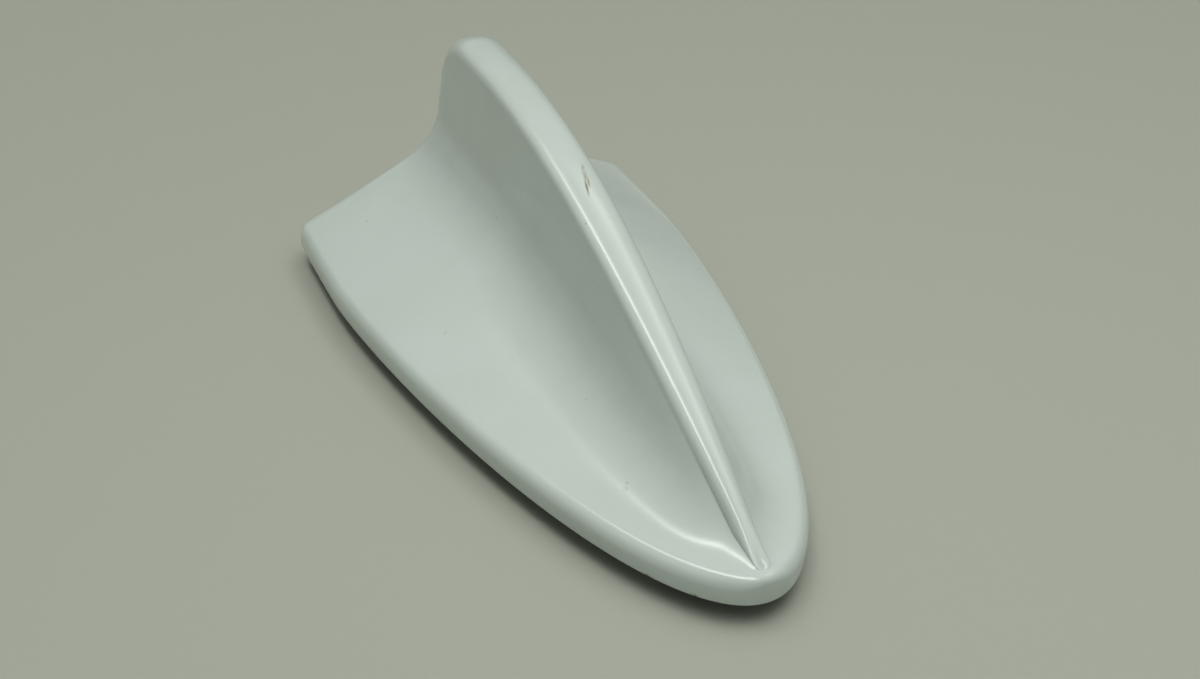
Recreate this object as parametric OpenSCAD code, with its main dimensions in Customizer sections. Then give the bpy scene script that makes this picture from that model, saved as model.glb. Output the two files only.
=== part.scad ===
// Shark fin roof aerial: a moulded cover with a fin, a cast base, and the boards
// and sockets between them. +X points to the nose, +Y to the left, +Z up.
// The origin is the centre of the fixing hole, in the plane of the roof.

/* [Cover outline] */
// Length of the cover from nose to tail
cover_len = 160; // [150:1:180]
// Full width of the cover at its widest station
cover_w = 85.4; // [80:0.2:96]
// Distance behind the nose at which the cover is widest
lead_len = 131; // [118:1:144]
// How far each side draws in from the widest station to the tail
tail_taper = 0.3; // [0:0.1:3]
// Plan radius of the two rear corners
tail_corner_r = 5.9; // [4:0.1:9]
// Height of the cover's lower edge above the roof
rim_z = 1.2; // [0.9:0.1:1.6]
// Height of the side band at the nose
band_nose = 6.2; // [5.8:0.1:8]
// Height of the side band at the tail
band_tail = 5.2; // [5:0.1:7]
// Radius along the upper edge of the side band
band_r = 3; // [2:0.1:3.6]
// Slope of the skirt at the tail, in degrees
skirt_slope = 25.2; // [20:0.2:28]

/* [Fin] */
// Height of the fin's top above the roof
fin_top_z = 53.4; // [48:0.2:60]
// Distance over which the ridge climbs from the nose to its full height
ridge_run = 134; // [122:1:142]
// Thickness of the ridge where it starts at the nose
ridge_nose_t = 2.5; // [2:0.1:5]
// Thickness of the fin's top at the tail
fin_t = 11; // [10.4:0.1:14]
// Draft of the fin's flanks, in degrees
fin_draft = 5.5; // [3:0.5:8]
// Depth of the rounded top edge of the fin
fin_cap = 3.2; // [2.4:0.1:4]
// Radius of the hollow where the skirt turns up into the fin
foot_r = 16.4; // [12:0.2:22]
// Length and depth of the rounded upper corner at the fin's tail
tip_r = 12; // [9:0.2:13]
// Radius of the edge between the fin's flanks and its rear face
fin_tail_r = 2.6; // [1.8:0.1:3.2]
// Forward lean of the rear face, per millimetre of height
tail_lean = 0.11; // [0.05:0.01:0.18]

/* [Cover inside] */
// Thickness of the moulded wall
wall = 2.2; // [1.8:0.1:2.4]
// Width of the shelf that presses on the seal
shelf_w = 2; // [1.8:0.1:2.4]
// Outer radius of the screw bosses
boss_r = 3; // [2.7:0.1:3.4]
// Radius of the pilot hole in each boss
pilot_r = 1.25; // [1.15:0.05:1.35]
// Depth of the pilot holes above the base
pilot_depth = 3.4; // [3:0.1:3.8]

/* [Base] */
// Thickness of the cast base
base_t = 2; // [1.8:0.1:2.4]
// Gap between the base's edge and the cover's wall
edge_gap = 0.3; // [0.2:0.05:0.5]
// Length of the locating collar
collar_l = 54; // [50:1:60]
// Width of the locating collar
collar_w = 26; // [24:1:30]
// How far the collar reaches below the roof plane
collar_drop = 4; // [3:0.5:8]
// Wall of the locating collar
collar_t = 2.2; // [1.8:0.1:3]
// Outer radius of the fixing boss
fix_boss_r = 5.5; // [5:0.5:6.5]
// Radius of the M6 fixing hole before threading
fix_r = 2.5; // [2.4:0.05:2.6]
// Clearance radius of the cover screw holes
screw_clear_r = 1.7; // [1.6:0.05:1.9]

/* [Seals] */
// Thickness of the gasket under the base
gasket_t = 1.8; // [1.6:0.1:2.2]
// How far the gasket's edge lies inside the cover's edge
gasket_inset = 3; // [2.6:0.1:4]
// Width of the seal between base and cover
seal_w = 1.6; // [1.4:0.1:1.8]
// Height of that seal when pressed
seal_h = 1.3; // [1.1:0.1:1.5]

/* [Boards] */
// Thickness of the printed boards
board_t = 1.4; // [1.2:0.1:1.6]
// Height of the pillars under the main board
pillar_h = 1.6; // [1.4:0.1:2]
// Distance from the nose to the main board's front end
board_nose_gap = 42; // [38:1:46]
// Distance from the tail to the main board's rear end
board_tail_gap = 20; // [18:1:24]
// Width of the main board, as a part of the cover's width
board_w_part = 0.42; // [0.38:0.01:0.44]
// Side of the square satellite patch
patch_side = 18; // [16:0.5:20]
// Thickness of the satellite patch
patch_t = 4; // [3:0.5:4.5]
// Clearance between the fin board and the cover's inside
fin_board_gap = 1.6; // [1.2:0.1:3]

/* [Sockets] */
// Distance of each socket from the fixing hole
socket_x = 15; // [13.5:0.5:17]
// Outer radius of the socket sleeves
socket_r = 3; // [2.6:0.1:3.4]
// Wall of the socket sleeves
socket_t = 0.4; // [0.3:0.05:0.5]
// How far the sockets stay above the collar's end
socket_recess = 1; // [0.5:0.1:2]

/* [Hidden] */
$fn = 48;

// Plan: exponents of the rounded nose, and the fan of section lines round it
plan_p = 1.367;
plan_q = 2;
nose_x = cover_len / 2;
half_max = cover_w / 2;
fan_run = 60;
ridge_start = 4.4;
skirt_run = 110;
ridge_pow = 0.9;
nose_lift_run = 12;
thick_run = 50;
cap_pow = 0.8;
tail_drop = 0.6;

// Stack of the base, from the roof upwards
base_z = gasket_t;
deck_z = base_z + base_t;
groove_d = 1;
shelf_z = deck_z - groove_d + seal_h;
board_z = deck_z + pillar_h;
board_top = board_z + board_t;
collar_z = -collar_drop;
seal_inset = wall + edge_gap;
seal_play = 0.1;

// Cover screws: one under the nose ridge, two beside the middle, two at the rear
front_screw_u = 26;
mid_screw_x = 4;
rear_screw_inset = 17;
rear_screw_u = cover_len - rear_screw_inset;
screw_inset = 10.5;
function side_screws(u) = [for (s = [1, -1]) [nose_x - u, s * (half_w(u) - screw_inset)]];
cover_screw_at = concat([[nose_x - front_screw_u, 0]],
    side_screws(nose_x - mid_screw_x), side_screws(rear_screw_u));
screw_head_r = 2.6;
screw_head_h = 1.5;
screw_shank_r = 1.2;
screw_tip_gap = 0.5;
head_hole_r = screw_head_r + 0.3;
boss_skin = 0.35;

// Collar and fixing boss
collar_corner_r = 4;
collar_play = 0.2;
fix_boss_recess = 0.5;
fix_cap_z = board_z - 0.6;
fix_hole_top = deck_z - 0.6;

// Places along and across the main board, as parts of its length and half width
board_front_x = nose_x - board_nose_gap;
board_rear_x = board_tail_gap - nose_x;
board_w = board_w_part * cover_w;
board_front_w = 0.61 * board_w;
function board_x(f) = board_rear_x + f * (board_front_x - board_rear_x);
function board_y(f) = f * board_w / 2;

// Screws that hold the main board on its pillars
board_screw_inset = 4;
board_screw_at = [for (s = [1, -1]) each [[board_front_x - board_screw_inset,
    s * (board_front_w / 2 - board_screw_inset)],
    [board_rear_x + board_screw_inset, s * (board_w / 2 - board_screw_inset - 1)]]];
pillar_r = 2.6;
pin_r = 0.9;
pin_clear_r = 1.1;
pin_floor = 0.5;
thread_play = 0.03;
small_head_r = 1.9;
small_head_h = 1.1;

// Main board's taper, and the parts that stand on it
board_taper_x = board_x(0.69);
chips = [[board_x(0.36), board_y(-0.61), 7, 7, 1.2], [board_x(0.22), board_y(-0.66), 5, 5, 1],
    [board_x(0.13), board_y(-0.64), 6, 4, 1.2], [board_x(0.61), board_y(0.69), 5, 4, 1.2],
    [board_x(0.51), board_y(0.64), 8, 6, 1.4]];
passive_size = [1.6, 0.8, 0.6];
passive_pitch = 0.0265 * (board_front_x - board_rear_x);
passive_rows = [[board_x(0.1), board_y(-0.9), 8], [board_x(0.34), board_y(-0.92), 6],
    [board_x(0.56), board_y(0.9), 4], [board_x(0.72), board_y(-0.6), 3]];

// Satellite patch, shield can and fin carrier along the main board
patch_gap = 2;
patch_x = board_front_x - board_screw_inset - small_head_r - patch_gap - patch_side / 2;
pad_t = 0.4;
electrode_t = 0.2;
electrode_margin = 2;
electrode_side = patch_side - 2 * electrode_margin;
feed_x = patch_x + 1.6;
feed_r = 0.5;
feed_play = 0.1;
feed_tail = 0.8;
feed_head_h = 0.3;
patch_top = board_top + pad_t + patch_t;
can_l = 18;
can_w = 7;
can_x = [for (e = [-1, 1]) board_x(0.31) + e * can_l / 2];
can_y = [for (e = [-1, 1]) board_y(0.67) + e * can_w / 2];
can_h = 2.6;
can_wall = 0.3;
fin_board_front_x = patch_x - patch_side / 2 - 2 * patch_gap;
fin_board_rear_x = board_rear_x - 2;
fin_board_lead = 4;
carrier_x = [board_x(0.06), fin_board_front_x - fin_board_lead];
carrier_w = 11;
carrier_foot_h = 2;
carrier_rib_w = 5;
carrier_rib_h = 5;
carrier_floor = 0.6;
carrier_screw_y = 7.6;
carrier_screw_inset = 4.5;
carrier_screw_at = [[carrier_x[0] + carrier_screw_inset, carrier_screw_y],
    [carrier_x[1] - carrier_screw_inset, -carrier_screw_y]];
slot_gap = 0.1;
foil_t = 0.2;
foil_margin = 1.5;
foil_z = board_top + carrier_rib_h + 1;
meander_x = board_x(0.02);
meander_pitch = 0.0347 * (board_front_x - board_rear_x);
meander_track = 1.2;
meander_pairs = 9;
phone_x = [board_x(0.04), board_x(0.53)];
phone_slots = 3;
phone_slot_at = [9, 6];
phone_slot_pitch = 0.25 * (phone_x[1] - phone_x[0]);
phone_slot_w = 1.4;

// Sockets
socket_z = collar_z + socket_recess;
socket_play = 0.5;
centre_pin_r = 0.45;
centre_pin_play = 0.1;
fit_play = 0.03;
insulator_recess = 2.5;
pin_recess = 1;

function clamp01(a) = min(1, max(0, a));
function ease(a) = let (c = clamp01(a)) c * c * (3 - 2 * c);

// Half width of the cover at the distance u behind the nose
function half_w(u) = u <= 0 ? 0
    : u < lead_len ? half_max * pow(1 - pow(1 - u / lead_len, plan_p), 1 / plan_q)
    : half_max - tail_taper * pow((u - lead_len) / (cover_len - lead_len), 2);
slope_step = 0.05;
function half_w_slope(u) = let (a = max(0, u - slope_step), b = u + slope_step)
    (half_w(b) - half_w(a)) / (b - a);

// Point of the outline drawn in by the inset o, as [distance behind nose, half width]
function rim_pt(u, o) = let (s = half_w_slope(u), n = sqrt(1 + s * s))
    [u + o * s / n, max(0, half_w(u) - o / n)];
// Where the section line from that point meets the ridge
function ridge_u(u, o) = u + (ridge_start + o) * pow(max(0, 1 - u / fan_run), 2);

// Heights, thickness and slope that the sections take along the cover
function band_h(u) = band_tail + (band_nose - band_tail)
    * (0.5 * (1 - u / cover_len) + 0.5 * exp(-pow(u / nose_lift_run, 2)));
function ridge_climb(u) = pow(sin(90 * clamp01((u - ridge_start) / ridge_run)), ridge_pow);
function tip_drop(u) = let (a = clamp01((u - cover_len + tip_r) / tip_r))
    0.8 * tip_r * (1 - sqrt(1 - 0.985 * a * a)) + tail_drop * ease((u - ridge_run) / 40);
function ridge_h(u) = let (start = rim_z + band_nose + 0.3)
    start + (fin_top_z - start) * ridge_climb(u) - tip_drop(u);
function ridge_half_t(u) = ridge_nose_t / 2
    + (fin_t - ridge_nose_t) / 2 * (1 - exp(-u / thick_run)) / (1 - exp(-cover_len / thick_run));
function skirt_ang(u) = skirt_slope * clamp01(u / skirt_run);

// Forward lean of the rear face, and the radius of its edge across the section:
// widest at the corners in plan, and least over the fin's cap, which rounds by itself
function lean(z) = tail_lean * (z - rim_z);
function cap_part(i, n, steps) = max(0, i - (n - 1 - steps[4])) / steps[4];
function tail_r(f, o, cap = 0) = max(0.4, (fin_tail_r - o
    + (tail_corner_r - fin_tail_r) * ease((f - 0.3) / 0.6)) * (1 - 0.85 * ease(cap)));

// Counts of steps in one section: band edge, skirt, foot, flank and cap
outer_steps = [4, 3, 6, 2, 6];
inner_steps = [2, 2, 4, 2, 3];

// One section, from the lower edge to the middle of the ridge, as [distance from
// the ridge, height]. The wall o is taken off, and the shelf s stands inside it.
function section(u, o, s, steps) =
    let (
        rim = rim_pt(u, o),
        ru = ridge_u(u, o),
        len_o = norm([rim[0] - ru, rim[1]]),
        d = len_o - s,
        sk = skirt_ang(u),
        ts = tan(sk),
        td = tan(fin_draft),
        side = max(0.35, rim[1] / len_o),
        zc = rim_z + band_h(u) - o / cos(sk) + ts * (o + s),
        t_full = min(ridge_half_t(ru) / side, 0.4 * len_o),
        t = max(0.5, t_full - o),
        skirt_t = zc + ts * (d - t),
        open = o == 0 ? 1 : ease((t_full - o - 0.3) / 1.2),
        h = skirt_t + 0.25 + max(0, ridge_h(ru) - o - skirt_t - 0.25) * open,
        cap = min(max(1, fin_cap - o), 0.6 * (h - skirt_t)),
        er = min(o == 0 ? band_r : 1, 0.6 * d),
        et = er * tan((90 - sk) / 2),
        edge = [d - er, zc - et],
        edge_end = [d - et * cos(sk), zc + et * sin(sk)],
        kq = (t + (h - cap - zc - ts * d) * td) / (1 - ts * td),
        knee = [kq, zc + ts * (d - kq)],
        turn = 90 - fin_draft - sk,
        tl = min((foot_r + o) * tan(turn / 2), 0.8 * norm([t, h - cap] - knee),
            0.75 * norm(edge_end - knee)),
        fr = tl / tan(turn / 2),
        foot_start = knee + tl * [cos(sk), -sin(sk)],
        foot_mid = foot_start + fr * [sin(sk), cos(sk)],
        foot_end = knee + tl * [-sin(fin_draft), cos(fin_draft)]
    )
    concat(
        s == 0 ? [[d, rim_z]] : [[len_o, rim_z], [len_o, shelf_z], [d, shelf_z]],
        [for (k = [0:steps[0]]) let (a = (90 - sk) * k / steps[0])
            edge + er * [cos(a), sin(a)]],
        [for (k = [1:steps[1] - 1]) edge_end + (foot_start - edge_end) * k / steps[1]],
        [for (k = [0:steps[2]]) let (a = sk + turn * k / steps[2])
            foot_mid - fr * [sin(a), cos(a)]],
        [for (k = [1:steps[3] - 1]) foot_end + ([t, h - cap] - foot_end) * k / steps[3]],
        [for (k = [0:steps[4]]) let (a = 90 * k / steps[4])
            [k == steps[4] ? 0 : t * pow(cos(a), cap_pow), h - cap + cap * pow(sin(a), cap_pow)]]
    );

// Inward normal of a section at its point i: level over the lower edge and the shelf
function section_normal(c, i, s) = i == 0 || (s > 0 && i < 3) ? [-1, 0]
    : i == len(c) - 1 ? [0, -1]
    : let (v = c[i + 1] - c[i - 1]) [-v[1], v[0]] / norm(v);

// Stations along the cover, close together at the nose and at the fin's tip
nose_steps = 14;
mid_steps = 10;
tip_steps = 7;
round_steps = 4;
tip_start = cover_len - 1.2 * tip_r;
stations = concat(
    [for (k = [0:nose_steps]) fan_run * pow(k / nose_steps, 1.8)],
    [for (k = [1:mid_steps]) fan_run + (tip_start - fan_run) * k / mid_steps],
    [for (k = [1:tip_steps]) tip_start + (cover_len - tip_start) * sin(90 * k / tip_steps)]);

// One half of the surface: the rows along the stations, then round the rear edge
quarter_turn = 90;
function body_row(u, o, s, steps) =
    let (c = section(u, o, s, steps), rim = rim_pt(u, o), ru = ridge_u(u, o),
        len_o = norm([rim[0] - ru, rim[1]]))
    [for (i = [0:len(c) - 1]) let (p = c[i], f = p[0] / len_o,
        r = tail_r(f, o, cap_part(i, len(c), steps)))
        [nose_x - (ru + (rim[0] - ru) * f) * (cover_len - lean(p[1]) - r - o) / cover_len,
            rim[1] * f, p[1]]];
function tail_row(a, o, s, steps) =
    let (c = section(cover_len, o, s, steps), rim = rim_pt(cover_len, o))
    [for (i = [0:len(c) - 1]) let (
        r = tail_r(c[i][0] / rim[1], o, cap_part(i, len(c), steps)),
        v = section_normal(c, i, s),
        p = c[i] + (1 - cos(a)) * [r * v[0], min(r, fin_tail_r) * v[1]])
        [nose_x - cover_len + lean(p[1]) + o + r * (1 - sin(a)), max(0, p[0]), p[1]]];
function half_rows(o, s, steps) = concat(
    [for (u = stations) body_row(u, o, s, steps)],
    [for (k = [1:round_steps]) tail_row(quarter_turn * k / round_steps, o, s, steps)]);
// Both halves of each row, from the right edge over the ridge to the left edge
function full_rows(o, s, steps) = [for (row = half_rows(o, s, steps)) concat(
    [for (p = row) [p[0], -p[1], p[2]]],
    [for (i = [len(row) - 2:-1:0]) row[i]])];

// Index of point i in row j, where the first row's two halves are the same points
function at(start, j, i, n) = start + j * n + (j == 0 ? min(i, n - 1 - i) : i);
function skin_faces(start, rows, n) = concat(
    [for (j = [0:rows - 2], i = [0:n - 2])
        [at(start, j, i, n), at(start, j + 1, i + 1, n), at(start, j, i + 1, n)]],
    [for (j = [0:rows - 2], i = [0:n - 2])
        [at(start, j, i, n), at(start, j + 1, i, n), at(start, j + 1, i + 1, n)]],
    [for (i = [0:(n - 1) / 2 - 1]) let (l = rows - 1)
        [at(start, l, i, n), at(start, l, n - 1 - i, n), at(start, l, i + 1, n)]],
    [for (i = [0:(n - 1) / 2 - 2]) let (l = rows - 1)
        [at(start, l, i + 1, n), at(start, l, n - 1 - i, n), at(start, l, n - 2 - i, n)]]);
function flipped(faces) = [for (f = faces) [f[2], f[1], f[0]]];
function solid_faces(faces) = [for (f = faces)
    if (f[0] != f[1] && f[1] != f[2] && f[2] != f[0]) f];

// The moulded shell: outer skin, inner skin, and the lower edge between them
module cover_shell() {
    outer = full_rows(0, 0, outer_steps);
    inner = full_rows(wall, shelf_w, inner_steps);
    rows = len(outer);
    n = len(outer[0]);
    m = len(inner[0]);
    split = rows * n;
    l = rows - 1;
    edge_faces = concat(
        [for (j = [0:rows - 2], side = [0, 1]) let (
            a = at(0, j, side * (n - 1), n), b = at(0, j + 1, side * (n - 1), n),
            c = at(split, j, side * (m - 1), m), d = at(split, j + 1, side * (m - 1), m))
            each side == 0 ? [[a, d, b], [a, c, d]] : [[b, d, a], [d, c, a]]],
        let (a = at(0, l, 0, n), b = at(0, l, n - 1, n),
            c = at(split, l, 0, m), d = at(split, l, m - 1, m)) [[a, d, b], [a, c, d]]);
    polyhedron(
        points = concat([for (row = outer) each row], [for (row = inner) each row]),
        faces = solid_faces(concat(skin_faces(0, rows, n),
            flipped(skin_faces(split, rows, m)), edge_faces)),
        convexity = 6);
}

// Height of the cover's outer skin at the distance q from its middle plane
function skin_z(x, q) = let (u = (nose_x - x) * cover_len / (cover_len - tail_corner_r))
    lookup(q, [for (p = section(u, 0, 0, outer_steps)) if (p[1] > rim_z) p]);
function boss_top(p) = skin_z(p[0] + boss_r, max(abs(p[1]) + boss_r, boss_r + 1)) - boss_skin;

// Cover: the shell with its screw bosses and their pilot holes
module cover() color("whitesmoke") {
    difference() {
        union() {
            cover_shell();
            for (p = cover_screw_at)
                translate([p[0], p[1], deck_z])
                    cylinder(r = boss_r, h = boss_top(p) - deck_z);
        }
        for (p = cover_screw_at)
            translate([p[0], p[1], deck_z - 1])
                cylinder(r = pilot_r, h = pilot_depth + 1);
    }
}

// Plan of the cover's outline at the height z, drawn in by the inset o
function plan_side(o, z) = let (
    r = max(0.6, tail_corner_r - o),
    squeeze = (cover_len - lean(z) - tail_corner_r) / cover_len,
    last = rim_pt(cover_len, o),
    back_x = nose_x - cover_len + lean(z) + o)
    concat(
        [for (u = stations) let (p = rim_pt(u, o)) [nose_x - p[0] * squeeze, p[1]]],
        [for (k = [1:round_steps]) let (a = quarter_turn * k / round_steps)
            [back_x + r * (1 - sin(a)), last[1] - r * (1 - cos(a))]]);
module plan(o, z) {
    side = plan_side(o, z);
    polygon(concat(side, [for (i = [len(side) - 1:-1:1]) [side[i][0], -side[i][1]]]));
}

// Rectangle with round corners, centred on the fixing hole
module round_rect(l, w, r) {
    square([l - 2 * r, w], center = true);
    square([l, w - 2 * r], center = true);
    for (sx = [-1, 1], sy = [-1, 1])
        translate([sx * (l / 2 - r), sy * (w / 2 - r)]) circle(r = r);
}

// Seal in the rebate round the base, pressed by the shelf inside the cover
module cover_seal() color("dimgray")
    translate([0, 0, deck_z - groove_d])
        linear_extrude(seal_h)
            difference() {
                plan(seal_inset, deck_z);
                plan(seal_inset + seal_w, deck_z);
            }

// Cast base: flange, deck, pillars, locating collar and fixing boss
module base_plate() color("silver")
    difference() {
        union() {
            translate([0, 0, base_z])
                linear_extrude(base_t - groove_d) plan(wall + edge_gap, deck_z);
            translate([0, 0, base_z])
                linear_extrude(base_t) plan(seal_inset + seal_w + seal_play, deck_z);
            translate([0, 0, collar_z])
                linear_extrude(base_z - collar_z + base_t / 2)
                    difference() {
                        round_rect(collar_l, collar_w, collar_corner_r);
                        round_rect(collar_l - 2 * collar_t, collar_w - 2 * collar_t,
                            collar_corner_r - collar_t / 2);
                    }
            translate([0, 0, collar_z + fix_boss_recess])
                cylinder(r = fix_boss_r, h = fix_cap_z - collar_z - fix_boss_recess);
            for (p = concat(board_screw_at, carrier_screw_at))
                translate([p[0], p[1], deck_z - base_t / 2])
                    cylinder(r = pillar_r, h = pillar_h + base_t / 2);
        }
        translate([0, 0, collar_z])
            cylinder(r = fix_r, h = fix_hole_top - collar_z);
        for (p = cover_screw_at)
            translate([p[0], p[1], 0]) cylinder(r = screw_clear_r, h = 2 * deck_z);
        for (p = concat(board_screw_at, carrier_screw_at))
            translate([p[0], p[1], base_z + pin_floor])
                cylinder(r = pin_r + thread_play, h = board_z);
        for (s = [-1, 1])
            translate([s * socket_x, 0, 0])
                cylinder(r = socket_r + socket_play, h = 2 * deck_z);
    }

// Gasket between the base and the roof, open round the collar and the screw heads
module roof_gasket() color("black")
    linear_extrude(gasket_t)
        difference() {
            plan(gasket_inset, rim_z);
            round_rect(collar_l + 2 * collar_play, collar_w + 2 * collar_play,
                collar_corner_r + collar_play);
            for (p = cover_screw_at) translate(p) circle(r = head_hole_r);
        }

// Pan-head screw with its head's seat at the origin, pointing along +Z
module pan_screw(head_r, head_h, shank_r, length, recess_r) {
    difference() {
        union() {
            translate([0, 0, -head_h]) cylinder(r = head_r, h = head_h);
            translate([0, 0, -head_h / 2]) cylinder(r = shank_r, h = length + head_h / 2);
        }
        translate([0, 0, -head_h - 1]) cylinder(r = recess_r, h = 1 + 0.6 * head_h, $fn = 6);
    }
}

module cover_screws() color("gainsboro")
    for (p = cover_screw_at)
        translate([p[0], p[1], base_z])
            pan_screw(screw_head_r, screw_head_h, screw_shank_r,
                base_t + pilot_depth - screw_tip_gap, screw_head_r / 2);

module board_screws() color("gainsboro")
    for (p = board_screw_at)
        translate([p[0], p[1], board_top])
            mirror([0, 0, 1])
                pan_screw(small_head_r, small_head_h, pin_r,
                    board_top - base_z - pin_floor - screw_tip_gap / 2, small_head_r / 2);

// Main board: full width at the rear, tapered towards the nose
module main_board() color("darkgreen")
    difference() {
        translate([0, 0, board_z])
            linear_extrude(board_t)
                polygon([[board_rear_x, -board_w / 2], [board_taper_x, -board_w / 2],
                    [board_front_x, -board_front_w / 2], [board_front_x, board_front_w / 2],
                    [board_taper_x, board_w / 2], [board_rear_x, board_w / 2]]);
        for (p = concat(board_screw_at, carrier_screw_at))
            translate([p[0], p[1], deck_z]) cylinder(r = pin_clear_r, h = board_top);
        for (s = [-1, 1])
            translate([s * socket_x, 0, deck_z])
                cylinder(r = centre_pin_r + centre_pin_play, h = board_top);
        translate([feed_x, 0, deck_z]) cylinder(r = feed_r + feed_play, h = board_top);
    }

// Satellite patch aerial on its adhesive pad, with its electrode and feed pin
module gps_slab(side, z, h) {
    difference() {
        translate([patch_x - side / 2, -side / 2, z]) cube([side, side, h]);
        translate([feed_x, 0, z - 1]) cylinder(r = feed_r + feed_play, h = h + 2);
    }
}
module gps_pad() color("dimgray") gps_slab(patch_side - 2, board_top, pad_t);
module gps_patch() color("tan") gps_slab(patch_side, board_top + pad_t, patch_t);
module gps_electrode() color("silver") gps_slab(electrode_side, patch_top, electrode_t);
module gps_feed_pin() color("gold") {
    translate([feed_x, 0, board_z - feed_tail])
        cylinder(r = feed_r, h = patch_top + electrode_t - board_z + feed_tail + feed_head_h / 2);
    translate([feed_x, 0, patch_top + electrode_t])
        cylinder(r = 2 * feed_r, h = feed_head_h);
}

// Shield can over the amplifier, open underneath
module shield_can() color("lightgray")
    translate([can_x[0], can_y[0], board_top])
        difference() {
            cube([can_x[1] - can_x[0], can_y[1] - can_y[0], can_h]);
            translate([can_wall, can_wall, -can_wall])
                cube([can_x[1] - can_x[0] - 2 * can_wall,
                    can_y[1] - can_y[0] - 2 * can_wall, can_h]);
        }

// Chips and small parts on the main board, as [x, y, length, width, height]
module on_board(list)
    for (c = list)
        translate([c[0] - c[2] / 2, c[1] - c[3] / 2, board_top]) cube([c[2], c[3], c[4]]);
module board_chips() color("dimgray") on_board(chips);
module board_passives() color("peru")
    for (row = passive_rows)
        on_board([for (k = [0:row[2] - 1])
            concat([row[0] + k * passive_pitch, row[1]], passive_size)]);

// Upright board in the fin, cut to the curve of the cavity above it
function cavity_z(x) = let (u = (nose_x - x) * cover_len / (cover_len - fin_tail_r - lean(fin_top_z)))
    ridge_h(u) - wall - fin_board_gap;
fin_board_steps = 14;
module fin_profile(drop)
    polygon(concat(
        [[fin_board_front_x - drop, board_top + carrier_floor],
            [fin_board_rear_x + drop, board_top + carrier_floor]],
        [for (k = [0:fin_board_steps]) let (x = fin_board_rear_x + drop
            + (fin_board_front_x - fin_board_rear_x - 2 * drop) * k / fin_board_steps)
            [x, cavity_z(x) - drop]]));
module upright(y, t)
    translate([0, y + t / 2, 0]) rotate([90, 0, 0]) linear_extrude(t) children();
module fin_board() color("darkgreen") upright(0, board_t) fin_profile(0);

// Meander of the broadcast aerial on the left face of the fin board: upright tracks,
// joined in pairs under the cavity's curve and between the pairs at the foot
function track_x(k) = meander_x + k * meander_pitch;
function track_top(k) = min(cavity_z(track_x(k)), cavity_z(track_x(k + 1))) - foil_margin;
module radio_radiator() color("peru")
    upright((board_t + foil_t) / 2, foil_t)
        for (k = [0:2:2 * meander_pairs - 2]) {
            for (side = [0, 1])
                translate([track_x(k + side), foil_z])
                    square([meander_track, track_top(k) - foil_z]);
            translate([track_x(k), track_top(k) - meander_track])
                square([meander_pitch + meander_track, meander_track]);
            if (k < 2 * meander_pairs - 2)
                translate([track_x(k + 1), foil_z])
                    square([meander_pitch + meander_track, meander_track]);
        }

// Broad strip of the telephone aerial on the right face
module phone_radiator() color("peru")
    upright(-(board_t + foil_t) / 2, foil_t)
        difference() {
            intersection() {
                fin_profile(foil_margin);
                translate([phone_x[0], foil_z]) square([phone_x[1] - phone_x[0], fin_top_z]);
            }
            for (k = [0:phone_slots - 1])
                translate([phone_x[0] + phone_slot_at[0] + k * phone_slot_pitch,
                    foil_z + phone_slot_at[1]])
                    square([phone_slot_w, fin_top_z]);
        }

// Carrier that clamps the foot of the fin board to the main board
module fin_carrier() color("dimgray")
    difference() {
        union() {
            translate([carrier_x[0], -carrier_w / 2, board_top])
                cube([carrier_x[1] - carrier_x[0], carrier_w, carrier_foot_h]);
            translate([carrier_x[0], -carrier_rib_w / 2, board_top])
                cube([carrier_x[1] - carrier_x[0], carrier_rib_w, carrier_rib_h]);
            for (p = carrier_screw_at)
                translate([p[0], p[1], board_top]) cylinder(r = pillar_r, h = carrier_foot_h);
        }
        translate([carrier_x[0] - 1, -board_t / 2 - slot_gap, board_top + carrier_floor])
            cube([carrier_x[1] - carrier_x[0] + 2, board_t + 2 * slot_gap, fin_top_z]);
        for (p = carrier_screw_at)
            translate([p[0], p[1], deck_z]) cylinder(r = pin_clear_r, h = fin_top_z);
    }
module carrier_screws() color("gainsboro")
    for (p = carrier_screw_at)
        translate([p[0], p[1], board_top + carrier_foot_h])
            mirror([0, 0, 1])
                pan_screw(small_head_r, small_head_h, pin_r,
                    board_top + carrier_foot_h - base_z - pin_floor - screw_tip_gap / 2,
                    small_head_r / 2);

// Coaxial sockets: sleeve, insulator and centre pin under the main board
module at_sockets()
    for (s = [-1, 1]) translate([s * socket_x, 0, 0]) children();
module tube(r, bore, z0, z1)
    translate([0, 0, z0])
        difference() {
            cylinder(r = r, h = z1 - z0);
            translate([0, 0, -1]) cylinder(r = bore, h = z1 - z0 + 2);
        }
module socket_sleeves() color("gold") at_sockets()
    tube(socket_r, socket_r - socket_t, socket_z, board_z);
module socket_insulators() color("white") at_sockets()
    tube(socket_r - socket_t - fit_play, centre_pin_r + fit_play,
        socket_z + insulator_recess, board_z);
module socket_pins() color("gold") at_sockets()
    translate([0, 0, socket_z + pin_recess])
        cylinder(r = centre_pin_r, h = board_top - socket_z - pin_recess);

cover();
cover_seal();
base_plate();
roof_gasket();
cover_screws();
main_board();
board_screws();
gps_pad();
gps_patch();
gps_electrode();
gps_feed_pin();
shield_can();
board_chips();
board_passives();
fin_board();
radio_radiator();
phone_radiator();
fin_carrier();
carrier_screws();
socket_sleeves();
socket_insulators();
socket_pins();
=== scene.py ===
# %% [markdown]
# ## A roof aerial shaped like a shark's fin
#
# The object is a moulded and lacquered cover over a cast base, with two gaskets, a board
# with a satellite patch, and an upright board in the fin. Only the cover shows from above,
# so most of this lesson is about one smooth shape and one glossy finish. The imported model
# gives every size, in metres, and each new piece is laid over the solid that it stands for.

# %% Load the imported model
import math

import bmesh
import bpy
import numpy as np
from mathutils import Matrix, Vector
from mathutils.bvhtree import BVHTree


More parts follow.
